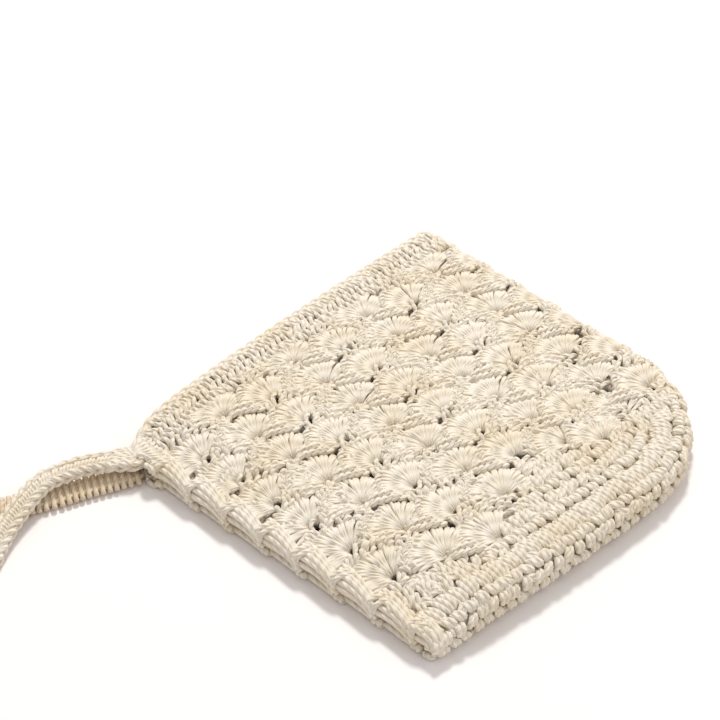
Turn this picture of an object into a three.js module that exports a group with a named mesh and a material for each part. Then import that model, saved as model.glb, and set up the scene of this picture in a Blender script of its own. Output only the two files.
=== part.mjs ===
// A crocheted wool bonnet, folded flat on its crown and lying on a surface.
// Millimetres. +X runs from the face edge to the back of the head, +Y from the
// neck edge to the crown fold, +Z up from the surface that the bonnet lies on.
// The origin is the middle of the bonnet's underside, on that surface.

import * as THREE from 'three';

// The bonnet, folded flat.
const FACE_HEIGHT = 167; // face edge, from the neck edge to the crown fold
const DEPTH = 157; // face edge to the back of the head
const FACE_LEAN = 7.2; // how far the face edge falls back at the neck
const BACK_LEAN = 7.5; // how far the back edge comes forward at the neck
const NECK_RISE = 12; // how much higher the neck edge lies at the back
const CROWN_RADIUS = 52; // round corner between the crown fold and the back
const FACE_CORNER = 7; // round corner between the crown fold and the face edge

// The knitted wall and the space between its two layers.
const WALL = 4.2;
const HOLLOW = 4.8; // inside height where a head goes in
const NECK_HOLLOW = 0.9; // inside height left at the neck edge
const NECK_FALL = 26; // how far above the neck edge the top layer starts to fall

// The shell stitch: fans in rows, each row set half a repeat from the last.
const SHELL_REPEAT = 36.2; // one fan to the next along a row
const ROW_PAIR = 16.45; // one fan to the next over two rows
const SHELL_RELIEF = 0.8; // how far a fan stands out of the mean surface
const FIRST_FAN = 16.3; // base of the second row of fans, from the face band
const FAN_CREST = 5; // base of a fan to its crest
const FAN_LINE = 38.5; // first line of fan bases below the crown fold

// Bands that close and edge the shells.
const FACE_BAND_WIDTH = 12.5;
const FACE_BAND_ROWS = 3;
const BACK_PANEL_WIDTH = 34;
const BACK_PANEL_ROWS = 6;
const BAND_RELIEF = 0.4; // height of a band's ribs
const NECK_EDGING_WIDTH = 5.5;
const EDGE_STITCH = 8.2; // one slanting stitch of the neck edging
const EDGE_RELIEF = 0.35;

// The ties.
const TIE_WIDTH = 7.5;
const TIE_THICKNESS = 3.4;
const TIE_STITCH = 5; // one rib of a tie
const TIE_RELIEF = 0.35;
const UPPER_TIE_LENGTH = 78;
const LOWER_TIE_LENGTH = 66;
const TIE_INSET = 7.5; // from the face edge to the middle of a tie

const CLEARANCE = 0.3; // between neighbouring pieces

// The width of the back panel, down the back edge, as a share of its greatest width.
const BACK_PANEL_SHAPE = [
  { down: 0.0, width: 0.3 },
  { down: 0.3, width: 1.0 },
  { down: 0.48, width: 0.96 },
  { down: 0.76, width: 0.5 },
  { down: 1.0, width: 0.46 },
];

// The middle line of each tie: out from the neck edge and towards the face, as
// shares of its length, and up, as a share of the bonnet's height at the neck.
const UPPER_TIE_LINE = [
  { out: 0.0, across: 0.0, up: 0.74 },
  { out: 0.03, across: 0.008, up: 0.76 },
  { out: 0.126, across: 0.075, up: 0.78 },
  { out: 0.213, across: 0.124, up: 0.75 },
  { out: 0.309, across: 0.156, up: 0.7 },
  { out: 0.4, across: 0.168, up: 0.66 },
  { out: 0.504, across: 0.144, up: 0.62 },
  { out: 0.597, across: 0.112, up: 0.57 },
  { out: 0.683, across: 0.075, up: 0.48 },
  { out: 0.765, across: 0.031, up: 0.34 },
  { out: 0.852, across: -0.019, up: 0.14 },
  { out: 0.936, across: -0.063, up: 0.01 },
  { out: 0.987, across: -0.088, up: 0.0 },
];
const LOWER_TIE_LINE = [
  { out: 0.0, across: -0.02, up: 0.04 },
  { out: 0.03, across: -0.018, up: 0.03 },
  { out: 0.171, across: 0.044, up: 0.0 },
  { out: 0.32, across: 0.106, up: 0.0 },
  { out: 0.447, across: 0.15, up: 0.0 },
  { out: 0.544, across: 0.198, up: 0.0 },
  { out: 0.68, across: 0.262, up: 0.0 },
  { out: 0.792, across: 0.33, up: 0.0 },
  { out: 0.898, across: 0.4, up: 0.0 },
];

// How finely the pieces are faceted.
const ROLL_STEPS = [0, 0.134, 0.5]; // cuts through a rolled edge, as shares of its radius
const CUTS_PER_REPEAT = 6;
const CUTS_PER_ROW_PAIR = 4;
const CUTS_PER_RIB = 3;
const CUTS_PER_PANEL_RIB = 2;
const CUTS_PER_EDGE_STITCH = 3;
const TIE_SIDES = 8;

const halfHeight = FACE_HEIGHT / 2;
const halfDepth = DEPTH / 2;
const rollRadius = WALL + HOLLOW / 2;
const crownX = halfDepth - CROWN_RADIUS;
const crownY = halfHeight - CROWN_RADIUS;
const crownDiagonal = CROWN_RADIUS * Math.SQRT1_2;
const neckThickness = 2 * WALL + NECK_HOLLOW;

const wool = new THREE.Color('#ebdec6');
const shadedWool = new THREE.Color('#e2d3b7');

function mix(from, to, share) {
  return from + (to - from) * share;
}

function valueAt(table, column, result, at) {
  const last = table.length - 1;
  let row = 0;
  while (row < last - 1 && table[row + 1][column] < at) row += 1;
  const low = table[row];
  const high = table[row + 1];
  const share = THREE.MathUtils.clamp((at - low[column]) / (high[column] - low[column]), 0, 1);
  return mix(low[result], high[result], share * share * (3 - 2 * share));
}

// The outline of the flat bonnet.

function faceX(down) {
  const fallen = down * FACE_HEIGHT;
  const inCorner = Math.max(FACE_CORNER - fallen, 0);
  const corner = FACE_CORNER - Math.sqrt(FACE_CORNER ** 2 - inCorner ** 2);
  return -halfDepth + FACE_LEAN * down ** 3 + corner;
}

function backX(down) {
  const top = crownY + crownDiagonal;
  const y = mix(top, -halfHeight + NECK_RISE, down);
  if (y > crownY) return crownX + Math.sqrt(CROWN_RADIUS ** 2 - (y - crownY) ** 2);
  const below = (crownY - y) / (crownY + halfHeight - NECK_RISE);
  return halfDepth - BACK_LEAN * below ** 1.5;
}

function foldY(along) {
  const x = mix(faceX(0), crownX + crownDiagonal, along);
  if (x < crownX) return halfHeight;
  return crownY + Math.sqrt(CROWN_RADIUS ** 2 - (x - crownX) ** 2);
}

function neckY(along) {
  return -halfHeight + NECK_RISE * along;
}

// A point of the flat outline. along runs from the face edge to the back, and
// down from the crown fold to the neck edge, both from 0 to 1.
function planPoint(along, down) {
  const x = mix(faceX(down), backX(down), along);
  const y = mix(foldY(along), neckY(along), down);
  return new THREE.Vector2(x, y);
}

function lengthAcross(down) {
  return backX(down) - faceX(down);
}

function lengthDown(along) {
  return foldY(along) - neckY(along);
}

// The height of the space between the layers.
function hollowAt(along, down) {
  const above = (1 - down) * lengthDown(along);
  const share = THREE.MathUtils.clamp(above / NECK_FALL, 0, 1);
  return mix(NECK_HOLLOW, HOLLOW, share * share * (3 - 2 * share));
}

// A rolled edge: 0 on the edge itself, 1 where the layer lies flat.
function roll(distance, radius) {
  const short = 1 - THREE.MathUtils.clamp(distance / radius, 0, 1);
  return Math.sqrt(1 - short * short);
}

// A point of a layer's outside or inside. side is 1 for the top layer and -1 for
// the bottom one. The underside lies flat, so relief shows only above and at the edges.
function layerPoint(side, along, down, inside, relief) {
  const plan = planPoint(along, down);
  const hollow = hollowAt(along, down);
  const middle = WALL + hollow / 2;
  const inset = inside ? WALL : 0;
  const radius = inside ? hollow / 2 : rollRadius;
  const atFold = roll(down * lengthDown(along) - inset, radius);
  const atBack = roll((1 - along) * lengthAcross(down) - inset, radius);
  const height = (inside ? hollow / 2 : hollow / 2 + WALL) * atFold * atBack;
  const out = inside ? 0 : relief(along, down, plan);
  const x = plan.x + out * Math.sqrt(1 - atBack * atBack);
  const y = plan.y + out * Math.sqrt(1 - atFold * atFold);
  const lift = side > 0 ? out * atFold * atBack : 0;
  return new THREE.Vector3(x, y, middle + side * height + lift);
}

// Relief of each kind of stitch.

function shellRelief(along, down, plan) {
  const fromBand = plan.x - faceX(down) - FACE_BAND_WIDTH;
  const row = (fromBand - FIRST_FAN + FAN_CREST) / ROW_PAIR - 0.5;
  const fan = (halfHeight - FAN_LINE - plan.y) / SHELL_REPEAT;
  const wave = Math.cos(2 * Math.PI * fan) * Math.cos(2 * Math.PI * row);
  return -SHELL_RELIEF * wave;
}

function faceBandRelief(along, down) {
  const fromEdge = along * lengthAcross(down);
  return BAND_RELIEF * (1 - Math.cos((2 * Math.PI * FACE_BAND_ROWS * fromEdge) / FACE_BAND_WIDTH));
}

function backPanelRelief(along, down) {
  const fromEdge = (1 - along) * lengthAcross(down);
  const rib = BACK_PANEL_WIDTH / BACK_PANEL_ROWS;
  return BAND_RELIEF * (1 + Math.cos((2 * Math.PI * fromEdge) / rib));
}

function neckRelief(along, down, plan) {
  return EDGE_RELIEF * Math.cos((2 * Math.PI * plan.x) / EDGE_STITCH);
}

// Distances from a rolled edge to the far side of a layer. The number of steps is even.
function stepsFromEdge(length, size) {
  const flat = 2 * Math.round((length / size + ROLL_STEPS.length) / 2) - ROLL_STEPS.length;
  const steps = ROLL_STEPS.map((share) => share * rollRadius);
  for (let k = 0; k <= flat; k += 1) steps.push(mix(rollRadius, length, k / flat));
  return steps;
}

// A wall between an outside and an inside grid. The inside has half as many
// cells each way. A zipped wall's last column lies on a rolled edge, where its
// top and bottom layers already meet.
function wallGeometry(columns, rows, outside, inside, zipped) {
  const points = [];
  const faces = [];
  const add = (point) => points.push(point) - 1;
  const outer = [];
  const inner = [];
  for (let i = 0; i <= columns; i += 1) {
    outer.push([]);
    for (let j = 0; j <= rows; j += 1) outer[i].push(add(outside(i, j)));
  }
  for (let i = 0; i <= columns; i += 2) {
    inner.push([]);
    for (let j = 0; j <= rows; j += 2) inner[i / 2].push(add(inside(i, j)));
  }
  const quad = (a, b, c, d) => faces.push([a, b, c], [a, c, d]);
  for (let i = 0; i < columns; i += 1) {
    for (let j = 0; j < rows; j += 1) {
      quad(outer[i][j], outer[i + 1][j], outer[i + 1][j + 1], outer[i][j + 1]);
    }
  }
  for (let i = 0; i < columns / 2; i += 1) {
    for (let j = 0; j < rows / 2; j += 1) {
      quad(inner[i][j], inner[i][j + 1], inner[i + 1][j + 1], inner[i + 1][j]);
    }
  }
  const rim = (fine, coarse) => {
    for (let k = 0; k < coarse.length - 1; k += 1) {
      faces.push([fine[2 * k], coarse[k], fine[2 * k + 1]]);
      faces.push([fine[2 * k + 1], coarse[k], coarse[k + 1]]);
      faces.push([fine[2 * k + 1], coarse[k + 1], fine[2 * k + 2]]);
    }
  };
  const column = (grid, i) => grid[i];
  const row = (grid, j) => grid.map((line) => line[j]);
  rim(column(outer, 0).slice().reverse(), column(inner, 0).slice().reverse());
  if (!zipped) rim(column(outer, columns), column(inner, columns / 2));
  rim(row(outer, 0), row(inner, 0));
  rim(row(outer, rows).slice().reverse(), row(inner, rows / 2).slice().reverse());
  return closedGeometry(points, faces);
}

// Merges points that lie together, drops faces that this closes up, and turns
// the body right side out.
function closedGeometry(points, faces) {
  const places = new Map();
  const merged = [];
  const index = points.map((p) => {
    const key = [p.x, p.y, p.z].map((value) => Math.round(value * 1e3)).join(' ');
    if (!places.has(key)) places.set(key, merged.push(p) - 1);
    return places.get(key);
  });
  const kept = faces
    .map((face) => face.map((corner) => index[corner]))
    .filter(([a, b, c]) => a !== b && b !== c && c !== a);
  let volume = 0;
  for (const [a, b, c] of kept) {
    volume += merged[a].dot(new THREE.Vector3().crossVectors(merged[b], merged[c]));
  }
  const turned = volume < 0 ? kept.map(([a, b, c]) => [a, c, b]) : kept;
  const geometry = new THREE.BufferGeometry();
  const position = new Float32Array(merged.flatMap((p) => [p.x, p.y, p.z]));
  geometry.setAttribute('position', new THREE.BufferAttribute(position, 3));
  geometry.setIndex(turned.flat());
  geometry.computeVertexNormals();
  return geometry;
}

function piece(name, geometry, color, roughness) {
  const material = new THREE.MeshStandardMaterial({ color, roughness, metalness: 0 });
  material.name = name;
  const mesh = new THREE.Mesh(geometry, material);
  mesh.name = name;
  return mesh;
}

// Where the pieces meet.

const faceBandEnd = (down) => FACE_BAND_WIDTH / lengthAcross(down);
const neckEdgingStart = (along) => 1 - NECK_EDGING_WIDTH / lengthDown(along);
const shellsEnd = (along) => neckEdgingStart(along) - halfGapDown(along);
const halfGapAcross = (down) => CLEARANCE / 2 / lengthAcross(down);
const halfGapDown = (along) => CLEARANCE / 2 / lengthDown(along);

function backPanelWidth(down) {
  return BACK_PANEL_WIDTH * valueAt(BACK_PANEL_SHAPE, 'down', 'width', down);
}

function backPanelStart(down) {
  return 1 - backPanelWidth(down) / lengthAcross(down);
}

// A row of a hairpin that runs from the bottom layer's far edge round a rolled
// edge to the top layer's: which layer it is on, and how far from the rolled edge.
function hairpin(steps, index) {
  const fromEdge = index - (steps.length - 1);
  return { side: fromEdge < 0 ? -1 : 1, distance: steps[Math.abs(fromEdge)] };
}

const sideSteps = stepsFromEdge(FACE_HEIGHT, SHELL_REPEAT / CUTS_PER_REPEAT);
const sideEnd = FACE_HEIGHT;

// The share down a layer of a step measured from the crown fold, ending at end.
function downShare(distance, end, inside) {
  const share = distance / sideEnd;
  const inset = inside ? (WALL / sideEnd) * (1 - share) : 0;
  return (share + inset) * end;
}

// The shell-stitch body: both layers and the crown fold, in one wall.
function shellCrown() {
  const rows = 2 * (sideSteps.length - 1);
  const span = DEPTH - FACE_BAND_WIDTH - BACK_PANEL_WIDTH * BACK_PANEL_SHAPE[0].width;
  const columns = 2 * Math.round((span / ROW_PAIR) * CUTS_PER_ROW_PAIR / 2);
  const point = (inside) => (i, j) => {
    const { side, distance } = hairpin(sideSteps, j);
    const rough = downShare(distance, 1, inside);
    const roughAlong = mix(faceBandEnd(rough), backPanelStart(rough), i / columns);
    const down = downShare(distance, shellsEnd(roughAlong), inside);
    const front = faceBandEnd(down) + halfGapAcross(down);
    const back = backPanelStart(down) - halfGapAcross(down);
    return layerPoint(side, mix(front, back, i / columns), down, inside, shellRelief);
  };
  return wallGeometry(columns, rows, point(false), point(true), false);
}

// The brim of plain stitches along the face edge, folded over the crown.
function faceBand() {
  const rows = 2 * (sideSteps.length - 1);
  const columns = 2 * Math.ceil((FACE_BAND_ROWS * CUTS_PER_RIB) / 2);
  const point = (inside) => (i, j) => {
    const { side, distance } = hairpin(sideSteps, j);
    const down = downShare(distance, 1, inside);
    const along = mix(0, faceBandEnd(down) - halfGapAcross(down), i / columns);
    return layerPoint(side, along, down, inside, faceBandRelief);
  };
  return wallGeometry(columns, rows, point(false), point(true), false);
}

// The panel of plain stitches that closes the back of the head.
function backPanel() {
  const rows = 2 * (sideSteps.length - 1);
  const ribSize = BACK_PANEL_WIDTH / BACK_PANEL_ROWS;
  const steps = stepsFromEdge(BACK_PANEL_WIDTH, ribSize / CUTS_PER_PANEL_RIB);
  const columns = steps.length - 1;
  const point = (inside) => (i, j) => {
    const { side, distance } = hairpin(sideSteps, j);
    const rough = downShare(distance, 1, inside);
    const share = steps[columns - i] / BACK_PANEL_WIDTH;
    const roughAlong = 1 - share * (1 - backPanelStart(rough));
    const down = downShare(distance, shellsEnd(roughAlong), inside);
    const width = backPanelWidth(down) - CLEARANCE / 2;
    const inset = inside ? WALL * (1 - share) : 0;
    const along = 1 - (share * width + inset) / lengthAcross(down);
    return layerPoint(side, along, down, inside, backPanelRelief);
  };
  return wallGeometry(columns, rows, point(false), point(true), true);
}

// The edging along the neck, round the back from one layer to the other.
function neckEdging() {
  const steps = stepsFromEdge(DEPTH, EDGE_STITCH / CUTS_PER_EDGE_STITCH);
  const columns = 2 * (steps.length - 1);
  const rows = 2;
  const point = (inside) => (i, j) => {
    const { side, distance } = hairpin(steps, i);
    const share = distance / DEPTH;
    const roughAlong = 1 - share * (1 - faceBandEnd(1));
    const start = neckEdgingStart(roughAlong) + halfGapDown(roughAlong);
    const down = mix(start, 1, j / rows);
    const front = faceBandEnd(down) + halfGapAcross(down);
    const inset = inside ? (WALL / lengthAcross(down)) * (1 - share) : 0;
    const along = 1 - share * (1 - front) - inset;
    return layerPoint(side, along, down, inside, neckRelief);
  };
  return wallGeometry(columns, rows, point(false), point(true), false);
}

// A flat crocheted strap with rounded edges, ribbed across, that starts at the
// neck edge below the face band.
function tie(line, length) {
  const start = planPoint(TIE_INSET / lengthAcross(1), 1);
  const slope = NECK_RISE / lengthAcross(1);
  const base = TIE_THICKNESS / 2;
  const rise = neckThickness - TIE_THICKNESS / 2;
  const points = line.map(
    (row) =>
      new THREE.Vector3(
        start.x - row.across * length,
        start.y - CLEARANCE - (slope * TIE_WIDTH) / 2 - row.out * length,
        base + row.up * rise,
      ),
  );
  const route = new THREE.CatmullRomCurve3(points, false, 'centripetal');
  const count = 2 * Math.round(route.getLength() / TIE_STITCH);
  const vertices = [];
  const faces = [];
  for (let k = 0; k <= count; k += 1) {
    const centre = route.getPointAt(k / count);
    const tangent = k === 0 ? new THREE.Vector3(0, -1, 0) : route.getTangentAt(k / count);
    const across = new THREE.Vector3(-tangent.y, tangent.x, 0).normalize();
    const up = new THREE.Vector3().crossVectors(across, tangent).normalize();
    if (up.z < 0) up.negate();
    const rib = TIE_RELIEF * Math.cos(Math.PI * k);
    for (let s = 0; s < TIE_SIDES; s += 1) {
      const angle = (2 * Math.PI * s) / TIE_SIDES;
      const side = Math.sign(Math.cos(angle)) * Math.abs(Math.cos(angle)) ** 0.6;
      const top = Math.sign(Math.sin(angle)) * Math.abs(Math.sin(angle)) ** 0.6;
      const thick = TIE_THICKNESS / 2 + (top > 0 ? rib : 0);
      vertices.push(
        centre
          .clone()
          .addScaledVector(across, (TIE_WIDTH / 2) * side)
          .addScaledVector(up, thick * top),
      );
    }
  }
  for (let k = 0; k < count; k += 1) {
    for (let s = 0; s < TIE_SIDES; s += 1) {
      const a = k * TIE_SIDES + s;
      const b = k * TIE_SIDES + ((s + 1) % TIE_SIDES);
      faces.push([a, b, b + TIE_SIDES], [a, b + TIE_SIDES, a + TIE_SIDES]);
    }
  }
  for (let s = 1; s < TIE_SIDES - 1; s += 1) {
    const end = count * TIE_SIDES;
    faces.push([0, s + 1, s], [end, end + s, end + s + 1]);
  }
  return closedGeometry(vertices, faces);
}

const group = new THREE.Group();
group.name = 'wool_bonnet';
group.add(piece('shell_crown', shellCrown(), wool, 0.92));
group.add(piece('face_band', faceBand(), shadedWool, 0.92));
group.add(piece('back_panel', backPanel(), shadedWool, 0.92));
group.add(piece('neck_edging', neckEdging(), wool, 0.92));
group.add(piece('tie_upper', tie(UPPER_TIE_LINE, UPPER_TIE_LENGTH), wool, 0.92));
group.add(piece('tie_lower', tie(LOWER_TIE_LINE, LOWER_TIE_LENGTH), wool, 0.92));

export default group;
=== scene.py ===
"""A crocheted wool bonnet that lies flat, folded along its crown, with its two ties out to one side.

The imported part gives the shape. This script lays the yarn over it strand by strand, in the part's own
frame, and adds the wool, the floor, the light and the camera. Lengths inside the classes are millimetres.
"""

import logging
import math
from dataclasses import dataclass
from enum import Enum

import bpy
import numpy as np
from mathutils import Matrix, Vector


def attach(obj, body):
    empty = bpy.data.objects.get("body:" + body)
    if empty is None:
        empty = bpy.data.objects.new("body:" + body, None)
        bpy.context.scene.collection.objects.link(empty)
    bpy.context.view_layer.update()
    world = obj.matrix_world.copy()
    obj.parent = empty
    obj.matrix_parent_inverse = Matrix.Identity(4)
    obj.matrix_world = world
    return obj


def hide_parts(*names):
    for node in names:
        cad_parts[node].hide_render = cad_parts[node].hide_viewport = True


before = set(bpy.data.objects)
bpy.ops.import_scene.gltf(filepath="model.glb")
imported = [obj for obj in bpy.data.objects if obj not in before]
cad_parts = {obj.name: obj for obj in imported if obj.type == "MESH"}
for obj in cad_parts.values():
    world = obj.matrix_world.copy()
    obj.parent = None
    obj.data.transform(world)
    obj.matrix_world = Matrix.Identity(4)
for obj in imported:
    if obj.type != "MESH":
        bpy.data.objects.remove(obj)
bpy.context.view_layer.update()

MM = 0.001
# From a hole's rim to the middle of the nearest strand, and how far from its middle strands are moved.
PIT_RIM = 0.85
PIT_PULL = 3.4
LOG = logging.getLogger("bonnet")


class Layer(Enum):
    """The two layers of the flat bonnet."""

    TOP = 1
    UNDER = -1


def linear(hex_colour: str) -> tuple[float, float, float, float]:
    """Turns an sRGB colour into the linear one that Blender's sockets take.

    Args:
        hex_colour: The colour as #rrggbb.

    Returns:
        Red, green, blue and an alpha of 1.
    """
    parts = [int(hex_colour[k : k + 2], 16) / 255 for k in (1, 3, 5)]
    bent = [p / 12.92 if p <= 0.04045 else ((p + 0.055) / 1.055) ** 2.4 for p in parts]
    return (bent[0], bent[1], bent[2], 1.0)


def smoothed(values: np.ndarray, steps: int) -> np.ndarray:
    """Draws smooth curves through rows of points.

    Args:
        values: Points of shape (curves, points, size).
        steps: How many points each smooth curve gets.

    Returns:
        Points of shape (curves, steps, size).
    """
    first = 2 * values[:, :1] - values[:, 1:2]
    last = 2 * values[:, -1:] - values[:, -2:-1]
    ends = np.concatenate([first, values, last], axis=1)
    at = np.linspace(0, values.shape[1] - 1, steps)
    index = np.minimum(at.astype(int), values.shape[1] - 2)
    t = (at - index)[None, :, None]
    a, b, c, d = (ends[:, index + k] for k in range(4))
    return 0.5 * (2 * b + (c - a) * t + (2 * a - 5 * b + 4 * c - d) * t**2 + (3 * b - a - 3 * c + d) * t**3)


def unit(vectors: np.ndarray) -> np.ndarray:
    """Returns the vectors at length one."""
    return vectors / np.maximum(np.linalg.norm(vectors, axis=-1, keepdims=True), 1e-9)


def eased(share: np.ndarray) -> np.ndarray:
    """Returns a share from 0 to 1 with soft ends."""
    held = np.clip(share, 0, 1)
    return held * held * (3 - 2 * held)


def parted(plan: np.ndarray, pits: np.ndarray) -> np.ndarray:
    """Pulls strands away from the holes between stitches.

    Args:
        plan: Places of shape (..., 2).
        pits: Rows of x, y and radius.

    Returns:
        The places, none of them over a hole.
    """
    for pit in pits:
        away = plan - pit[:2]
        distance = np.maximum(np.linalg.norm(away, axis=-1, keepdims=True), 1e-6)
        reach = pit[2] + PIT_RIM
        pushed = reach + 0.35 * distance * (1 - reach / PIT_PULL)
        moved = pit[:2] + away / distance * np.maximum(pushed, distance)
        plan = np.where(distance < PIT_PULL, moved, plan)
    return plan


def mesh_piece(
    name: str, points: np.ndarray, faces: list[np.ndarray], uvs: list[np.ndarray]
) -> bpy.types.Object:
    """Makes one object from arrays.

    Args:
        name: The piece's name.
        points: Points in millimetres, of shape (count, 3).
        faces: Arrays of point indices, one array for each number of corners.
        uvs: For each array in faces, the UV of each corner.

    Returns:
        The new object, linked to the scene and smoothly shaded.
    """
    mesh = bpy.data.meshes.new(name)
    mesh.vertices.add(len(points))
    mesh.vertices.foreach_set("co", (points * MM).astype(np.float32).ravel())
    corners = np.concatenate([f.ravel() for f in faces])
    totals = np.concatenate([np.full(len(f), f.shape[1]) for f in faces])
    mesh.loops.add(len(corners))
    mesh.loops.foreach_set("vertex_index", corners.astype(np.int32))
    mesh.polygons.add(len(totals))
    mesh.polygons.foreach_set("loop_start", np.concatenate([[0], np.cumsum(totals)[:-1]]).astype(np.int32))
    mesh.polygons.foreach_set("loop_total", totals.astype(np.int32))
    mesh.polygons.foreach_set("use_smooth", np.ones(len(totals), bool))
    layer = mesh.uv_layers.new(name="yarn")
    layer.data.foreach_set("uv", np.concatenate([u.reshape(-1, 2) for u in uvs]).astype(np.float32).ravel())
    mesh.update(calc_edges=True)
    mesh.validate()
    piece = bpy.data.objects.new(name, mesh)
    bpy.context.scene.collection.objects.link(piece)
    return piece


@dataclass(frozen=True)
class FlatForm:
    """Plan, thickness and rolled edges of the flat bonnet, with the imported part's own sizes."""

    face_height: float = 167.0
    depth: float = 157.0
    face_lean: float = 7.2
    back_lean: float = 7.5
    neck_rise: float = 12.0
    crown_radius: float = 52.0
    face_corner: float = 7.0
    wall: float = 4.2
    hollow: float = 4.8
    neck_hollow: float = 0.9
    neck_fall: float = 26.0
    panel_width: float = 34.0
    panel_top: float = 68.3
    panel_length: float = 139.8
    neck_front: float = -71.3
    neck_length: float = 142.3
    root_top: float = -67.0
    root_length: float = 16.5
    root_ease: float = 5.5
    fan_wave: float = 17.6

    @property
    def half_height(self) -> float:
        """Half the length of the face edge."""
        return self.face_height / 2

    @property
    def half_depth(self) -> float:
        """Half the distance from the face edge to the back."""
        return self.depth / 2

    @property
    def roll_radius(self) -> float:
        """Radius of the rolled fold and back."""
        return self.wall + self.hollow / 2

    @property
    def crown(self) -> tuple[float, float]:
        """Centre of the round corner of the crown."""
        return (self.half_depth - self.crown_radius, self.half_height - self.crown_radius)

    @property
    def roll_spare(self) -> float:
        """How much more fabric than plan there is from the middle of a rolled edge to where it lies flat."""
        return (math.pi / 2 - 1) * self.roll_radius

    @property
    def unrolled_fold(self) -> float:
        """Where the fold line lies when the top layer is unrolled flat."""
        return self.half_height + self.roll_spare

    def face_x(self, y: np.ndarray) -> np.ndarray:
        """Returns the face edge's x at a y of the plan."""
        down = np.clip((self.half_height - y) / self.face_height, 0, 1)
        into = np.clip(self.face_corner - down * self.face_height, 0, self.face_corner)
        corner = self.face_corner - np.sqrt(self.face_corner**2 - into**2)
        toward_tie = self.root_ease * np.clip((self.root_top - y) / self.root_length, 0, 1.1) ** 2
        return -self.half_depth + self.face_lean * down**3 + corner + toward_tie

    def back_x(self, y: np.ndarray, inset: float = 0.0) -> np.ndarray:
        """Returns the back edge's x at a y of the plan, for an outline moved in by inset."""
        crown_x, crown_y = self.crown
        radius = self.crown_radius - inset
        over = np.clip(y - crown_y, 0, radius)
        below = np.clip((crown_y - y) / (crown_y + self.half_height - self.neck_rise), 0, 1.3)
        straight = self.half_depth - inset - self.back_lean * below**1.5
        return np.where(y > crown_y, crown_x + np.sqrt(radius**2 - over**2), straight)

    def fold_y(self, x: np.ndarray, inset: float = 0.0) -> np.ndarray:
        """Returns the fold's y at an x of the plan, for an outline moved in by inset."""
        crown_x, crown_y = self.crown
        radius = self.crown_radius - inset
        past = np.clip(x - crown_x, 0, radius)
        return np.where(x < crown_x, self.half_height - inset, crown_y + np.sqrt(radius**2 - past**2))

    def neck_y(self, x: np.ndarray) -> np.ndarray:
        """Returns the neck edge's y at an x of the plan."""
        return -self.half_height + self.neck_rise * (x - self.neck_front) / self.neck_length

    def hollow_at(self, x: np.ndarray, y: np.ndarray) -> np.ndarray:
        """Returns the height of the space between the layers, which closes toward the neck edge."""
        share = eased((y - self.neck_y(x)) / self.neck_fall)
        return self.neck_hollow + (self.hollow - self.neck_hollow) * share

    def outline_distance(self, plan: np.ndarray) -> tuple[np.ndarray, np.ndarray]:
        """Measures points against the closed edge: the fold, the crown's corner and the back.

        Args:
            plan: Points of shape (..., 2).

        Returns:
            The distance inside the edge, and the direction inward from the edge at each point.
        """
        crown_x, crown_y = self.crown
        x, y = plan[..., 0], plan[..., 1]
        rise = crown_y + self.half_height - self.neck_rise
        below = np.clip((crown_y - y) / rise, 1e-6, 1.3)
        slope = np.where(y > crown_y, 0, self.back_lean * 1.5 * np.sqrt(below) / rise)
        straight = self.half_depth - self.back_lean * np.where(y > crown_y, 0, below) ** 1.5
        to_back = (straight - x) / np.sqrt(1 + slope**2)
        to_fold = self.half_height - y
        by_fold = to_fold < to_back
        distance = np.where(by_fold, to_fold, to_back)
        straight_in = unit(np.stack([-np.ones_like(x), slope], axis=-1))
        down = np.stack([np.zeros_like(x), -np.ones_like(x)], axis=-1)
        inward = np.where(by_fold[..., None], down, straight_in)
        out = plan - np.array([crown_x, crown_y])
        in_corner = (x > crown_x) & (y > crown_y)
        distance = np.where(in_corner, self.crown_radius - np.linalg.norm(out, axis=-1), distance)
        inward = np.where(in_corner[..., None], -unit(out), inward)
        return distance, inward

    def panel_reach(self, y: np.ndarray) -> np.ndarray:
        """Returns how far the back panel reaches in from the back edge at a y of the plan."""
        down = (self.panel_top - y) / self.panel_length
        widths = np.interp(down, [-0.12, 0, 0.3, 0.48, 0.76, 1.0], [0.0, 0.3, 1.0, 0.96, 0.5, 0.46])
        return self.panel_width * widths

    def scallop(self, plan: np.ndarray, run: np.ndarray) -> np.ndarray:
        """Raises the fold where a row of fans goes round it and lowers it between two rows.

        Args:
            plan: Points of shape (..., 2).
            run: Each point's distance from the middle of the rolled edge, along the fabric.

        Returns:
            The change in height at each point.
        """
        crown_x, crown_y = self.crown
        x, y = plan[..., 0], plan[..., 1]
        angle = np.arctan2(np.maximum(x - crown_x, 0), np.maximum(y - crown_y, 0.001))
        along = np.minimum(x, crown_x) + self.crown_radius * angle
        wave = np.abs(np.sin(math.pi * (along + 7.5) / self.fan_wave)) ** 0.6
        ends = eased((x + 72) / 8) * (1 - eased((angle - 0.9) / 0.5))
        return ends * np.exp(-((run / 9) ** 2)) * (1.7 * wave - 1.0)

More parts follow.
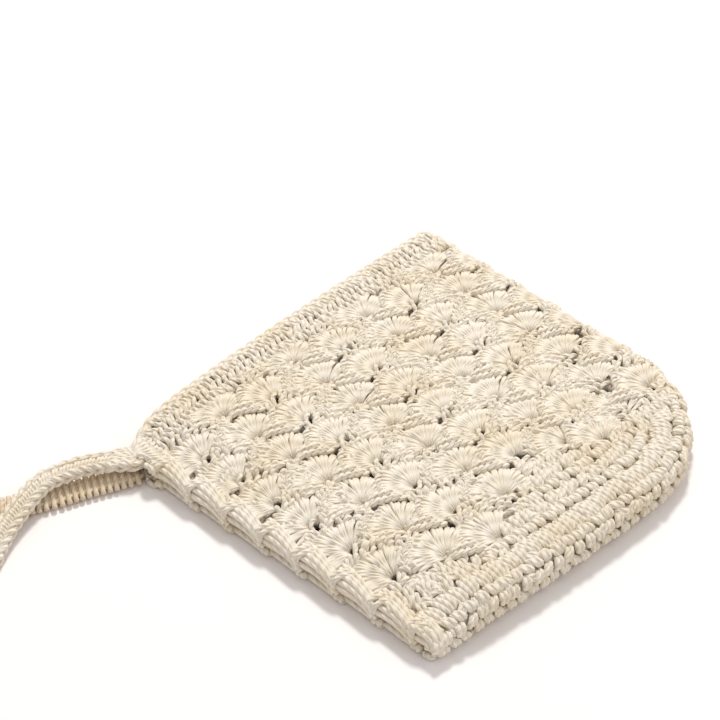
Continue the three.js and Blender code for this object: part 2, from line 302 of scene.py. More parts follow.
    def place(self, plan: np.ndarray, heights: np.ndarray, layer: Layer) -> tuple[np.ndarray, np.ndarray]:
        """Puts points of the unrolled fabric on the folded bonnet.

        A point past the fold or the back goes round the rolled edge onto the other layer.

        Args:
            plan: Points of shape (..., 2) on the layer, as if it were unrolled flat.
            heights: How far each point stands above the fabric's outside.
            layer: The layer that the points are counted from.

        Returns:
            The points in space and the fabric's outward direction at each of them.
        """
        radius = self.roll_radius
        distance, inward = self.outline_distance(plan)
        run = distance + self.roll_spare
        side = layer.value * np.where(run < 0, -1, 1)
        run = np.abs(run)
        heights = heights + self.scallop(plan, run)
        turn = np.minimum(run / radius, math.pi / 2)
        rolled = radius * (1 - np.cos(turn))
        inset = np.where(run < math.pi / 2 * radius, rolled, run - self.roll_spare)
        flat = plan + inward * (inset - distance)[..., None]
        hollow = self.hollow_at(flat[..., 0], flat[..., 1])
        middle = self.wall + hollow / 2
        up = (side * np.sin(turn))[..., None]
        normal = np.concatenate([-inward * np.cos(turn)[..., None], up], axis=-1)
        on_edge = np.concatenate([flat, (middle + side * middle * np.sin(turn))[..., None]], axis=-1)
        return on_edge + normal * heights[..., None], normal


@dataclass(frozen=True)
class Ribbon:
    """A flat tie that follows a line, as a surface that stitches are laid on."""

    line: np.ndarray
    half_thickness: float

    def frames(self, along: np.ndarray) -> tuple[np.ndarray, np.ndarray, np.ndarray]:
        """Finds the middle of the tie and its two directions.

        Args:
            along: Distances along the line.

        Returns:
            Points on the line, directions across and directions up.
        """
        lengths = np.concatenate([[0], np.cumsum(np.linalg.norm(np.diff(self.line, axis=0), axis=1))])
        tangents = unit(np.gradient(self.line, axis=0))
        point = np.stack([np.interp(along, lengths, self.line[:, k]) for k in range(3)], axis=-1)
        tangent = unit(np.stack([np.interp(along, lengths, tangents[:, k]) for k in range(3)], axis=-1))
        level = np.zeros_like(tangent)
        level[..., 2] = 1
        across = unit(np.cross(level, tangent))
        return point, across, np.cross(tangent, across)

    def place(self, plan: np.ndarray, heights: np.ndarray, layer: Layer) -> tuple[np.ndarray, np.ndarray]:
        """Puts points on the tie.

        Args:
            plan: Distance along the tie and distance across it, of shape (..., 2).
            heights: How far each point stands above the tie's face.
            layer: The upper or the under face.

        Returns:
            The points in space and the outward direction at each of them.
        """
        point, across, up = self.frames(plan[..., 0])
        lift = layer.value * (self.half_thickness + heights)
        return point + across * plan[..., 1:2] + up * lift[..., None], up * layer.value


class Yarn:
    """Strands of one piece, kept as arrays and made into one mesh of closed tubes."""

    def __init__(self, name: str, sides: int = 6) -> None:
        """Starts an empty piece.

        Args:
            name: The piece's name.
            sides: How many sides each strand has.
        """
        self.name = name
        self.sides = sides
        self.points: list[np.ndarray] = []
        self.quads: list[np.ndarray] = []
        self.caps: list[np.ndarray] = []
        self.quad_uvs: list[np.ndarray] = []
        self.cap_uvs: list[np.ndarray] = []
        self.covered: list[np.ndarray] = []
        self.pits = np.zeros((0, 3))
        self.count = 0
        self.random = np.random.default_rng(sum(map(ord, name)))

    def lay(
        self,
        surface: FlatForm | Ribbon,
        layer: Layer,
        plan: np.ndarray,
        heights: np.ndarray,
        radii: np.ndarray | float,
        steps: int = 8,
        pitch: float = 2.6,
        keep: np.ndarray | None = None,
    ) -> None:
        """Adds strands that follow points on a surface.

        Args:
            surface: What the strands lie on.
            layer: The layer or face that they are counted from.
            plan: Places on the surface, of shape (strands, points, 2).
            heights: Height of each point's middle over the surface, one row for all strands or one for each.
            radii: Half the strand's thickness, throughout or at each point.
            steps: Rings along each strand.
            pitch: Length along the strand in which its twist goes once past.
            keep: Which strands are laid, if not all.
        """
        rest = [np.broadcast_to(values, plan.shape[:-1])[..., None] for values in (heights, radii)]
        packed = np.concatenate([plan, *rest], axis=-1)
        if keep is not None:
            packed = packed[keep]
        if len(packed) == 0:
            return
        fine = smoothed(packed, steps)
        fine[..., :2] = parted(fine[..., :2], self.pits)
        if isinstance(surface, FlatForm) and layer is Layer.TOP:
            self.covered.append(fine[..., :2].reshape(-1, 2))
        path, normal = surface.place(fine[..., :2], fine[..., 2], layer)
        self.sweep(path, normal[:, 0], fine[..., 3], pitch)

    def sweep(self, path: np.ndarray, normal: np.ndarray, radii: np.ndarray, pitch: float) -> None:
        """Adds tubes round paths in space.

        Args:
            path: Middles of the rings, of shape (strands, rings, 3).
            normal: A direction off each strand's start, of shape (strands, 3).
            radii: Half the thickness at each ring.
            pitch: Length along the strand in which its twist goes once past.
        """
        strands, rings = path.shape[:2]
        path = np.concatenate([path[..., :2], np.maximum(path[..., 2], radii + 0.05)[..., None]], axis=-1)
        tangents = unit(np.gradient(path, axis=1))
        ups = np.empty_like(path)
        up = normal + 1e-4
        for k in range(rings):
            up = unit(up - np.sum(up * tangents[:, k], axis=-1, keepdims=True) * tangents[:, k])
            ups[:, k] = up
        across = np.cross(tangents, ups)
        turn = np.arange(self.sides) * 2 * math.pi / self.sides
        rim = across[:, :, None] * np.cos(turn)[:, None] + ups[:, :, None] * np.sin(turn)[:, None]
        points = path[:, :, None] + rim * radii[:, :, None, None]
        index = np.arange(strands * rings * self.sides).reshape(strands, rings, self.sides) + self.count
        ahead = np.roll(index, -1, axis=2)
        quads = np.stack([index[:, :-1], ahead[:, :-1], ahead[:, 1:], index[:, 1:]], axis=-1)
        lengths = np.cumsum(np.linalg.norm(np.diff(path, axis=1), axis=-1), axis=1)
        run = np.concatenate([np.zeros((strands, 1)), lengths], axis=1)
        run = run / pitch + self.random.uniform(0, 60, (strands, 1)).round()
        around = np.arange(self.sides + 1) / self.sides
        u = np.broadcast_to(run[:, :, None], (strands, rings, self.sides))
        here, there = u[:, :-1], u[:, 1:]
        low, high = (np.broadcast_to(edge, here.shape) for edge in (around[:-1], around[1:]))
        corners = ((here, low), (here, high), (there, high), (there, low))
        uv = np.stack([np.stack(corner, axis=-1) for corner in corners], axis=-2)
        ends = np.concatenate([run[:, 0], run[:, -1]])[:, None, None]
        self.points.append(points.reshape(-1, 3))
        self.quads.append(quads.reshape(-1, 4))
        self.quad_uvs.append(uv)
        self.caps.append(np.concatenate([index[:, 0, ::-1], index[:, -1]]))
        self.cap_uvs.append(np.broadcast_to(ends, (2 * strands, self.sides, 2)))
        self.count += strands * rings * self.sides

    def made(self, material: bpy.types.Material, nodes: tuple[str, ...]) -> bpy.types.Object:
        """Makes the piece and dresses it.

        Args:
            material: The wool.
            nodes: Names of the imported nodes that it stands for.

        Returns:
            The finished object.
        """
        piece = mesh_piece(
            self.name,
            np.concatenate(self.points),
            [np.concatenate(self.quads), np.concatenate(self.caps)],
            [np.concatenate([uv.reshape(-1, 4, 2) for uv in self.quad_uvs]), np.concatenate(self.cap_uvs)],
        )
        dress(piece, material, nodes)
        return piece


def dress(piece: bpy.types.Object, material: bpy.types.Material, nodes: tuple[str, ...]) -> None:
    """Gives a piece its wool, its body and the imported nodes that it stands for.

    Args:
        piece: The object.
        material: The wool.
        nodes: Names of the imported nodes.
    """
    piece.data.materials.append(material)
    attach(piece, "root")
    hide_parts(*nodes)
    triangles = sum(p.loop_total - 2 for p in piece.data.polygons)
    LOG.info("%s: %d triangles", piece.name, triangles)


def add_node(tree: bpy.types.NodeTree, kind: str, inputs: dict, **settings: object) -> bpy.types.Node:
    """Adds a shader node.

    Args:
        tree: The material's node tree.
        kind: The node's type name.
        inputs: Values or output sockets for its inputs, by name or number.
        **settings: Attributes of the node itself.

    Returns:
        The new node.
    """
    node = tree.nodes.new(kind)
    for name, value in settings.items():
        setattr(node, name, value)
    for key, value in inputs.items():
        if isinstance(value, bpy.types.NodeSocket):
            tree.links.new(value, node.inputs[key])
        else:
            node.inputs[key].default_value = value
    return node


@dataclass(frozen=True)
class SpunWool:
    """Undyed three-ply wool yarn, worsted spun and left with a little nap.

    The plies show as soft ridges that wind round each strand, with painted shade in the grooves between
    them;
    the nap takes the shine away and lights the outlines a little, and the fleece's own colour drifts from
    cream to straw.
    """

    pale: str = "#f1e8d7"
    straw: str = "#ebdec5"
    # Painted shade: the colour that the grooves between the plies are darkened toward.
    shaded: str = "#cfb78f"
    # Painted shade: the dark brown that the holes and gaps between the stitches are coloured toward.
    painted_hole_shade: str = "#1c1006"
    lit_nap: str = "#fff6e6"
    # How far the grooves between the plies are darkened toward the painted shade colour.
    painted_groove_shade: float = 0.28
    ply_depth: float = 0.65
    roughness: float = 0.95
    shine: float = 0.1
    sheen: float = 0.2
    patch_mm: float = 18.18
    hair_mm: float = 0.3846
    # A diagonal wave repeats every 2 pi / 10: once in a strand's pitch, and three times round it.
    wave: tuple[float, float, float] = (0.6283, 1.885, 0.0)

    def material(self, name: str, with_painted_hole_shade: bool = False) -> bpy.types.Material:
        """Builds the wool's material.

        Args:
            name: The material's name.
            with_painted_hole_shade: Whether the piece's depth colour paints shade into the holes and gaps
                between the stitches.

        Returns:
            The material.
        """
        made = bpy.data.materials.new(name)
        made.use_nodes = True
        tree = made.node_tree
        tree.nodes.clear()
        uv = add_node(tree, "ShaderNodeUVMap", {}, uv_map="yarn").outputs["UV"]
        place = add_node(tree, "ShaderNodeTexCoord", {}).outputs["Object"]
        plies = add_node(tree, "ShaderNodeMapping", {"Vector": uv, "Scale": self.wave}).outputs["Vector"]
        ridged = {"Vector": plies, "Scale": 1.0, "Distortion": 0.0}
        ridge = add_node(tree, "ShaderNodeTexWave", ridged, bands_direction="DIAGONAL").outputs["Fac"]
        patches, hairs = (
            add_node(tree, "ShaderNodeTexNoise", {"Vector": place, "Scale": 1 / (size * MM), "Detail": 3.0})
            for size in (self.patch_mm, self.hair_mm)
        )
        cream = add_node(tree, "ShaderNodeValToRGB", {"Fac": patches.outputs["Fac"]})
        for stop, position, shade in zip(cream.color_ramp.elements, (0.32, 0.58), (self.straw, self.pale)):
            stop.position = position
            stop.color = linear(shade)
        # Painted shade in the grooves between the plies: the colour goes toward the shaded colour where the
        # ply wave is low.
        painted_groove_shade = add_node(
            tree,
            "ShaderNodeMapRange",
            {"Value": ridge, "From Min": 0.0, "From Max": 0.35, "To Min": self.painted_groove_shade, "To Max": 0.0},
        )
        shade_in_ply_grooves = {0: painted_groove_shade.outputs["Result"], 6: cream.outputs["Color"], 7: linear(self.shaded)}
        colour = add_node(tree, "ShaderNodeMix", shade_in_ply_grooves, data_type="RGBA").outputs[2]
        if with_painted_hole_shade:
            # Painted shade in the holes and gaps: the colour goes toward the dark brown by the piece's depth
            # colour.
            depth = add_node(tree, "ShaderNodeVertexColor", {}, layer_name="depth")
            sunk_with_painted_shade = {0: depth.outputs["Color"], 6: colour, 7: linear(self.painted_hole_shade)}
            colour = add_node(tree, "ShaderNodeMix", sunk_with_painted_shade, data_type="RGBA").outputs[2]
        normal = {}
        for height, strength, distance in ((ridge, self.ply_depth, 0.5), (hairs.outputs["Fac"], 0.35, 0.12)):
            relief = {"Height": height, "Strength": strength, "Distance": distance * MM, **normal}
            normal = {"Normal": add_node(tree, "ShaderNodeBump", relief).outputs["Normal"]}
        surface = {
            "Base Color": colour,
            "Roughness": self.roughness,
            "Specular IOR Level": self.shine,
            "Sheen Weight": self.sheen,
            "Sheen Roughness": 0.5,
            "Sheen Tint": linear(self.lit_nap),
            **normal,
        }
        wool = add_node(tree, "ShaderNodeBsdfPrincipled", surface)
        add_node(tree, "ShaderNodeOutputMaterial", {"Surface": wool.outputs["BSDF"]})
        return made


@dataclass(frozen=True)
class MattPaint:
    """White board with matt paint: it takes soft shadows and mirrors nothing."""

    colour: str = "#f6f1ed"
    roughness: float = 0.9

    def material(self, name: str) -> bpy.types.Material:
        """Builds the paint's material.

        Args:
            name: The material's name.

        Returns:
            The material.
        """
        made = bpy.data.materials.new(name)
        made.use_nodes = True
        inputs = made.node_tree.nodes["Principled BSDF"].inputs
        inputs["Base Color"].default_value = linear(self.colour)
        inputs["Roughness"].default_value = self.roughness
        return made


@dataclass(frozen=True)
class FanLattice:
    """Where the fans start: rows of bases in a brick pattern.

    The rows bend a little toward the neck and the back.
    """

    form: FlatForm
    repeat: float = 36.5
    row_pair: float = 16.5
    first: tuple[float, float] = (-16.0, 45.0)

    def place(self, u: np.ndarray, v: np.ndarray) -> np.ndarray:
        """Turns lattice numbers into places on the unrolled top layer.

        Args:
            u: Count down from the fold, one per repeat.
            v: Count back from the face edge, one per pair of rows.

        Returns:
            Points of shape (..., 2).
        """
        neck = np.clip((u - 1.6) / 1.4, 0, 1) ** 1.2
        late = np.clip((v - 1.5) / 2.5, 0, 1)
        x = self.first[0] + self.row_pair * v + 6.2 * neck + 4 * late * np.clip(u - 1, 0, 1)
        x = x + 10 * np.clip((v - 0.5) / 2.5, 0, 1) * np.clip(-u, 0, 1)
        drop = 20 * late**1.6 * np.clip((0.5 - u) / 1.5, 0, 1) ** 0.9
        return np.stack([x, self.first[1] - u * (self.repeat - 0.45 * v) - drop], axis=-1)

    def bases(self, layer: Layer) -> tuple[np.ndarray, np.ndarray]:
        """Lists the bases of one layer.

        Args:
            layer: Top or under.

        Returns:
            Their places, and for each whether it belongs to the even rows.
        """
        low, high = (-1.0, 3.5) if layer is Layer.TOP else (-6.0, -1.5)
        places = []
        even = []
        for step in range(int((high - low) * 2) + 1):
            u = low + step / 2
            whole = float(u).is_integer()
            for v in np.arange(-2.5, 4.6, 0.5):
                if float(v).is_integer() == whole:
                    places.append(self.place(np.array(u), np.array(v)))
                    even.append(whole)
        found = np.array(places)
        if layer is Layer.UNDER:
            found[:, 1] = 2 * self.form.unrolled_fold - found[:, 1]
        return found, np.array(even)


@dataclass(frozen=True)
class Fan:
    """Length of a fan's legs by their angle from straight toward the face, in degrees and millimetres."""

    angles: tuple[float, ...]
    lengths: tuple[float, ...]
    legs: int = 26
    legs_under: int = 18
    spread: float = 86.0


EVEN_FAN = Fan((-86, -60, -25, 0, 30, 60, 86), (11.5, 14.2, 15.4, 13.6, 12.6, 12.2, 10.8))
ODD_FAN = Fan((-86, -65, -30, 0, 30, 60, 86), (11.0, 15.8, 15.0, 13.2, 13.0, 12.2, 10.5))


@dataclass(frozen=True)
class Stitching:
    """What each band of stitches works from: the form, the wool, and the places that strands cover."""

    form: FlatForm
    wool: bpy.types.Material
    seen: list[np.ndarray]


@dataclass(frozen=True)
class Shells(Stitching):
    """The fans of long stitches that cover the bonnet, with cords and small loops between them."""

    band_width: float = 12.5
    edging_width: float = 5.0
    strand: float = 1.0
    cord_length: float = 14.3
    cord_turn: float = 4.9

    def inside(self, plan: np.ndarray, spare: float = 0.0) -> np.ndarray:
        """Tells which points lie between the bands.

        Args:
            plan: Points of shape (..., 2).
            spare: How far a point may lie over the border.

        Returns:
            True where a fan's stitch may lie.
        """
        x, y = plan[..., 0], plan[..., 1]
        past_face = x - self.form.face_x(y) > self.band_width - spare
        over_neck = y - self.form.neck_y(x) > self.edging_width - spare
        before_panel = self.form.back_x(np.minimum(y, 80.0)) - x > self.form.panel_reach(y) - spare
        distance, _ = self.form.outline_distance(plan)
        return past_face & over_neck & before_panel & (distance > -13)

    def fans(self, yarn: Yarn, layer: Layer, bases: np.ndarray, fan: Fan) -> None:
        """Lays the legs of one kind of fan.

        Args:
            yarn: The piece to add to.
            layer: The layer they are on.
            bases: Where the fans start.
            fan: The kind of fan.
        """
        rng = yarn.random
        flip = layer.value
        legs = fan.legs if layer is Layer.TOP else fan.legs_under
        degrees = np.linspace(-fan.spread, fan.spread, legs)[None] + rng.normal(0, 1.6, (len(bases), legs))
        length = np.interp(degrees, fan.angles, fan.lengths) + rng.normal(0, 0.45, degrees.shape)
        angle = np.radians(degrees) * flip + rng.normal(0, 0.06, (len(bases), 1))
        direction = np.stack([-np.cos(angle), np.sin(angle)], axis=-1)
        for share in np.linspace(0.3, 1.0, 8):
            at = bases[:, None] + direction * (length * share)[..., None]
            length = np.where(self.inside(at, 1.5), length, np.minimum(length, length * (share - 0.06)))
        shares = np.array([0.09, 0.2, 0.42, 0.72, 0.9, 1.0])
        plan = bases[:, None, None] + direction[:, :, None] * (length[..., None] * shares)[..., None]
        bend = np.sin(np.radians(degrees) * 2) * flip * 0.9
        bow = np.sin(np.pi * shares) * (rng.normal(0, 0.3, angle.shape) + bend)[..., None]
        sideways = np.stack([-direction[..., 1], direction[..., 0]], axis=-1)
        plan = plan + sideways[:, :, None] * bow[..., None]
        lift = rng.normal(0, 0.13, angle.shape)[..., None]
        heights = np.array([-2.2, -1.15, -0.45, -0.3, -0.55, -1.15]) + lift
        thickness = self.strand * (1 + rng.normal(0, 0.06, angle.shape)[..., None])
        radii = np.array([0.38, 0.5, 0.74, 0.92, 0.98, 0.85]) * thickness
        keep = (length > 4.0) & self.inside(bases, 3.0)[:, None]
        yarn.lay(self.form, layer, plan, heights, radii, steps=9, pitch=5.2, keep=keep)

    def chains(
        self, yarn: Yarn, layer: Layer, bases: np.ndarray, fan: Fan, part: tuple[float, float]
    ) -> None:
        """Lays the thin chain that holds the tips of the legs on a fan's lower half.

        Args:
            yarn: The piece to add to.
            layer: The layer it is on.
            bases: Where the fans start.
            fan: The kind of fan.
            part: First and last angle of the chain.
        """
        kept = bases[self.inside(bases, 2.0)]
        degrees = np.linspace(part[0], part[1], 21)
        for ply in (0.0, math.pi):
            turn = np.linspace(0, 1, 21) * 17.0 + ply
            ring = np.interp(degrees, fan.angles, fan.lengths) - 1.0 + 0.6 * np.cos(turn)
            angle = np.radians(degrees)
            offset = np.stack([-np.cos(angle) * ring, np.sin(angle) * ring * layer.value], -1)
            plan = kept[:, None] + offset[None]
            heights = 0.5 * np.sin(turn) + 0.2 - 1.8 * np.linspace(-1, 1, 21) ** 6
            keep = self.inside(plan[:, 3], 0.5) & self.inside(plan[:, 17], 0.5)
            yarn.lay(self.form, layer, plan, heights, 0.66, steps=27, keep=keep)

    def cords(self, yarn: Yarn, layer: Layer, bases: np.ndarray) -> None:
        """Lays the pair of twisted cords that closes the upper half of each odd fan.

        Args:
            yarn: The piece to add to.
            layer: The layer they are on.
            bases: Bases of the even fans.
        """
        flip = layer.value
        kept = bases[self.inside(bases, 4.0)]
        kept = kept + yarn.random.normal(0, 0.2, kept.shape)
        share = np.linspace(0, 1, 29)
        for aside, start, end, centre in ((0.0, 0.0, 1.0, 0.5), (2.9, 0.02, 0.82, 0.4)):
            along = start + (end - start) * share
            x = -4.95 + 6.6 * along - 0.887 * aside - 0.7 * np.sin(np.pi * along)
            y = -19.3 + 12.7 * along + 0.461 * aside
            middle = kept[:, None] + np.stack([x, y * flip], axis=-1)[None]
            for ply in (0.0, math.pi):
                turn = share * self.cord_length * (end - start) / self.cord_turn * 2 * math.pi + ply
                plan = middle + np.stack([0.66 * np.cos(turn), -0.34 * flip * np.cos(turn)], axis=-1)[None]
                heights = 0.64 * np.sin(turn) + centre - 2.4 * np.abs(2 * share - 1) ** 8
                keep = self.inside(plan[:, 7], 1.0) & self.inside(plan[:, 24], 1.0)
                yarn.lay(self.form, layer, plan, heights, 0.84, steps=29, pitch=2.8, keep=keep)

    def loops(self, yarn: Yarn, layer: Layer, even: np.ndarray, odd: np.ndarray) -> None:
        """Lays the short loops that close the even fans and the stitches round their bases.

        Args:
            yarn: The piece to add to.
            layer: The layer they are on.
            even: Bases of the even fans.
            odd: Bases of the odd fans.
        """
        flip = layer.value
        rng = yarn.random
        crests = (
            (even, 12.9, (-4, 74), 7, -0.15),
            (even, 15.3, (-12, 76), 10, 0.0),
            (even, 17.4, (-4, 70), 8, -0.15),
            (odd, 13.4, (-64, -8), 6, -0.1),
            (odd, 15.8, (-66, -12), 7, -0.1),
        )
        for bases, ring, (first, last), count, height in crests:
            kept = bases[self.inside(bases, 4.0)]
            for degrees in np.linspace(first, last, count if layer is Layer.TOP else count - 2):
                angle = math.radians(degrees)
                out = np.array([-math.cos(angle), math.sin(angle) * flip])
                along = np.array([math.sin(angle), math.cos(angle) * flip])
                at = kept + out * ring + rng.normal(0, 0.35, kept.shape)
                turn = rng.normal(0.25, 0.45, (len(at), 1, 1))
                ends = np.array([-0.7, -0.55, 0.25, 0.9])[None, :, None]
                rise = np.array([-1.5, -0.55, 0.7, 1.6])[None, :, None]
                plan = at[:, None] + (ends + rise * turn) * along + rise * out
                heights = np.array([-1.8, 0.0, 0.15, -1.8]) + rng.normal(height, 0.15, (len(at), 1))
                yarn.lay(self.form, layer, plan, heights, 0.93, keep=self.inside(at, 1.5))
        bits = (
            (even, ((2.6, 2.6), (3.1, 1.4), (3.3, -0.6), (2.6, -2.4)), 0.95),
            (even, ((4.6, 3.4), (4.9, 1.8), (4.7, 0.2), (4.2, -1.8)), 0.85),
            (even, ((-0.6, -5.6), (0.2, -4.2), (0.9, -2.6), (1.6, -1.4)), 0.82),
            (odd, ((1.4, -2.6), (1.7, -1.2), (1.7, 0.6), (1.4, 2.2)), 0.95),
            (odd, ((2.0, -3.6), (3.2, -3.9), (4.6, -3.8), (5.6, -3.2)), 0.85),
            (odd, ((2.2, 3.2), (3.4, 3.4), (4.8, 3.0), (5.8, 2.2)), 0.85),
        )
        for bases, points, radius in bits:
            kept = bases[self.inside(bases, 2.0)]
            kept = kept + rng.normal(0, 0.2, kept.shape)
            plan = kept[:, None] + np.array(points)[None] * np.array([1, flip])
            yarn.lay(self.form, layer, plan, np.array([-1.9, -0.5, -0.4, -1.9]), radius)

    def pits(self, layer: Layer) -> np.ndarray:
        """Lists the small holes between the stitches.

        Args:
            layer: Top or under.

        Returns:
            Rows of x, y and radius on the unrolled layer.
        """
        bases, even = FanLattice(self.form).bases(layer)
        holes = (
            (bases[even], (0.3, 0.0), 0.85),
            (bases[even], (2.3, -6.2), 0.7),
            (bases[~even], (4.2, -1.0), 0.75),
        )
        found = np.concatenate([at + np.array([x, y * layer.value]) for at, (x, y), _ in holes])
        sizes = np.concatenate([np.full(len(at), size) for at, _, size in holes])
        return np.concatenate([found, sizes[:, None]], axis=1)[self.inside(found, 1.0)]

    def build(self) -> None:
        """Makes the fans and the loops of both layers."""
        for layer in Layer:
            bases, even = FanLattice(self.form).bases(layer)
            fans = Yarn(f"shell_fans_{layer.name.lower()}")
            between = Yarn(f"shell_loops_{layer.name.lower()}")
            fans.pits = between.pits = self.pits(layer)
            self.fans(fans, layer, bases[even], EVEN_FAN)
            self.fans(fans, layer, bases[~even], ODD_FAN)
            fans.made(self.wool, ("shell_crown",))
            self.chains(between, layer, bases[even], EVEN_FAN, (-62, -14))
            self.chains(between, layer, bases[~even], ODD_FAN, (-66, -8))
            self.cords(between, layer, bases[even])
            self.loops(between, layer, bases[even], bases[~even])
            between.made(self.wool, ("shell_crown",))
            self.seen.extend(fans.covered + between.covered)


def knots(
    rng: np.random.Generator,
    centres: np.ndarray,
    ahead: np.ndarray,
    aside: np.ndarray,
    size: tuple[float, float],
    slant: float,
    strands: int,
) -> tuple[np.ndarray, np.ndarray]:
    """Lays out plump stitches, each of a few strands side by side.

    Args:
        rng: Where the small differences between stitches come from.
        centres: Their middles, of shape (stitches, 2).
        ahead: Direction along the strands, of shape (stitches, 2).
        aside: Direction across them, of shape (stitches, 2).
        size: Length and width of a stitch.
        slant: How far the strands lean, as a share of their length.
        strands: How many strands each has.

    Returns:
        The places of shape (stitches * strands, 5, 2) and their heights.
    """
    plans = []
    heights = []
    shares = np.array([-0.5, -0.36, 0.0, 0.36, 0.5])
    count = len(centres)
    centres = centres + rng.normal(0, 0.3, centres.shape)
    turn = rng.normal(slant, 0.22, (count, 1))
    stretch = 1 + rng.normal(0, 0.1, (count, 1))
    lift = rng.normal(0, 0.18, (count, 1))
    for k in range(strands):
        offset = (k - (strands - 1) / 2) / max(strands - 1, 1)
        across = offset * size[1] * np.array([0.45, 0.85, 1.0, 0.85, 0.45])
        lean = across + shares * turn * size[0]
        plan = centres[:, None] + ahead[:, None] * (shares * size[0] * stretch)[..., None]
        plan = plan + aside[:, None] * lean[..., None]
        plans.append(plan)
        crown = 0.3 - 0.3 * abs(2 * offset)
        heights.append(np.array([-2.1, -0.45, crown, -0.45, -2.1]) + lift)
    return np.concatenate(plans), np.concatenate(heights)


@dataclass(frozen=True)
class FaceBand(Stitching):
    """The firm band round the face: a chained edge and three rows of close stitches."""

    pitch: float = 4.4
    link: float = 4.9

    def build(self) -> None:
        """Makes the band on both layers."""
        yarn = Yarn("face_band_stitches")
        rows = ((3.9, (4.6, 2.5), 0.45), (7.4, (4.6, 2.6), -0.35), (11.0, (4.8, 2.6), 0.3))
        low = -self.form.half_height + 2.0
        count = int((self.form.unrolled_fold - low) / self.pitch)
        for layer in Layer:
            for row, (at, size, slant) in enumerate(rows):
                y = low + (np.arange(count + 1) + 0.5 * (row % 2)) * self.pitch
                y = y[y < self.form.unrolled_fold + 1]
                y = y + yarn.random.normal(0, 0.35, len(y))
                centres = np.stack([self.form.face_x(y) + at, y], axis=-1)
                ahead = np.tile([1.0, 0.0], (len(y), 1))
                aside = np.tile([0.0, 1.0], (len(y), 1))
                plan, heights = knots(yarn.random, centres, ahead, aside, size, slant, 2)
                yarn.lay(self.form, layer, plan, heights, 0.98)
            self.edge(yarn, layer, low)
        yarn.made(self.wool, ("face_band",))
        self.seen.extend(yarn.covered)

    def edge(self, yarn: Yarn, layer: Layer, low: float) -> None:
        """Lays the chain along the face edge.

        Args:
            yarn: The piece to add to.
            layer: The layer it is on.
            low: Where it starts.
        """
        y = np.arange(low + 2.0, self.form.unrolled_fold + 2, self.link)
        links = (
            ((1.5, 0.6, 0.25, 0.5, 1.3), -0.35, 0.0),
            ((2.9, 2.2, 1.6, 1.2, 1.0), 0.05, 1.2),
            ((1.2, 0.45, 0.3, 0.45, 1.1), -1.9, 2.4),
            ((1.4, 0.7, 0.5, 0.7, 1.4), -3.4, 0.6),
        )
        for across, drop, lead in links:
            along = np.array([-0.66, -0.42, 0.0, 0.42, 0.66]) * self.link + lead
            py = y[:, None] + along[None] + yarn.random.normal(0, 0.2, (len(y), 1))
            plan = np.stack([self.form.face_x(py) + np.array(across)[None], py], axis=-1)
            heights = np.array([-1.5, -0.4, 0.0, -0.4, -1.5]) + drop
            yarn.lay(self.form, layer, plan, heights, 1.05, pitch=3.4)


@dataclass(frozen=True)
class BackPanel(Stitching):
    """The close rows that wrap the back edge and gather the bonnet there."""

    def outline(self) -> tuple[np.ndarray, np.ndarray, np.ndarray]:
        """Traces the back edge from the neck up to the crown and along the fold.

        Returns:
            Distance along it, points on it, and directions inward.
        """
        y = np.linspace(-71.5, self.form.crown[1], 200)
        back = np.stack([self.form.back_x(y), y], axis=-1)
        turn = np.linspace(0, math.pi / 2, 200)
        round_crown = np.stack([np.cos(turn), np.sin(turn)], -1)
        corner = np.array(self.form.crown) + self.form.crown_radius * round_crown
        points = np.concatenate([back, corner[1:]])
        _, inward = self.form.outline_distance(points)
        lengths = np.concatenate([[0], np.cumsum(np.linalg.norm(np.diff(points, axis=0), axis=1))])
        return lengths, points, inward

    def build(self) -> None:
        """Makes the panel, round the back edge onto both layers."""
        yarn = Yarn("back_panel_stitches")
        lengths, points, inward = self.outline()
        rows = (
            (-31.0, 6.4, 5.6, 3, 0.3),
            (-24.5, 3.6, 4.4, 2, 0.6),
            (-18.0, 8.4, 5.6, 3, -0.25),
            (-11.0, 4.4, 4.9, 2, 0.4),
            (-6.2, 4.4, 4.9, 2, -0.35),
            (-1.5, 4.6, 4.9, 2, 0.4),
            (3.4, 4.6, 4.9, 2, -0.4),
            (8.2, 4.4, 4.9, 2, 0.45),
            (14.4, 7.6, 5.4, 3, 0.25),
            (20.6, 3.6, 4.4, 2, 0.8),
            (25.4, 5.6, 5.4, 2, -0.3),
            (30.2, 3.6, 4.4, 2, 0.8),
            (34.6, 5.0, 5.2, 2, -0.3),
        )
        for number, (inset, length, pitch, strands, slant) in enumerate(rows):
            sigma = np.arange(1.0 + (number % 2) * pitch / 2, lengths[-1], pitch)
            sigma = sigma + yarn.random.normal(0, 0.2, len(sigma))
            foot = np.stack([np.interp(sigma, lengths, points[:, k]) for k in range(2)], -1)
            into = unit(np.stack([np.interp(sigma, lengths, inward[:, k]) for k in range(2)], -1))
            reach = self.form.panel_reach(foot[:, 1])
            keep = abs(inset) - length / 2 < reach + 1.0
            foot, into = foot[keep], into[keep]
            aside = np.stack([-into[:, 1], into[:, 0]], axis=-1)
            centres = foot + into * (inset - self.form.roll_spare)
            size = (length, pitch * 0.36 * (strands - 1))
            plan, heights = knots(yarn.random, centres, into, aside, size, slant, strands)
            radii = np.array([0.75, 1.0, 1.22, 1.0, 0.75])
            yarn.lay(self.form, Layer.TOP, plan, heights - 0.15, radii, pitch=2.2)
        yarn.made(self.wool, ("back_panel",))
        self.seen.extend(yarn.covered)


# Rows of the neck edging: how far over the edge a strand starts and ends, and how much it is raised.
TOP_EDGE_ROWS = (
    (7.4, 3.0, -0.2),
    (5.6, 1.7, -0.1),
    (3.8, 0.6, -0.2),
    (2.0, -0.1, -1.2),
    (0.9, -0.5, -2.9),
    (1.5, 0.5, -4.3),
)
UNDER_EDGE_ROWS = ((3.8, 1.8, 0.0), (2.6, 0.9, -0.5), (1.7, 0.4, -1.6))


